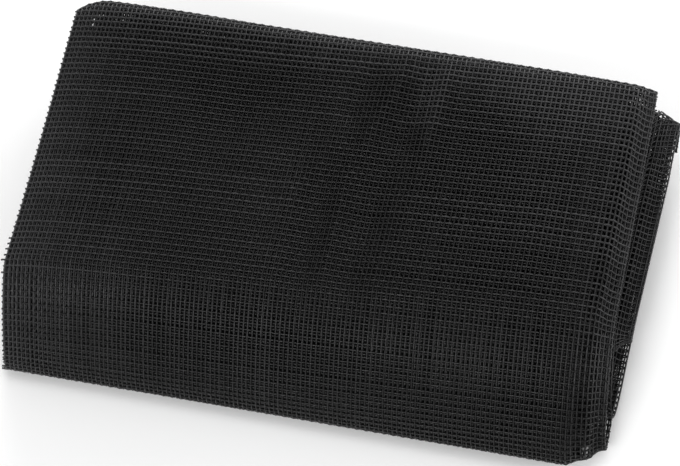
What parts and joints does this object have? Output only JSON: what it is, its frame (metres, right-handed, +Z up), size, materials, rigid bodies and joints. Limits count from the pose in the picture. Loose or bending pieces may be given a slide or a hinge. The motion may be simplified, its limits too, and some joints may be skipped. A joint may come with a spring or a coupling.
{
  "type": "folded insect screen mesh",
  "caption": "Black coated insect screen cloth with a fine open weave, folded into a soft packet with a rounded front, staggered layers at one end and a flat underside.",
  "frame": {"origin": "middle of the packet's box, on the surface that it lies on", "axes": "+X along the packet towards the end with staggered layers, -Y towards the rounded front, +Z up"},
  "size_m": [0.1974, 0.129, 0.0372],
  "materials": {
    "coated_screen": "black coated yarn in an open plain weave, satin"
  },
  "bodies": {
    "root": {"folded_mesh": "coated_screen"}
  },
  "joints": []
}
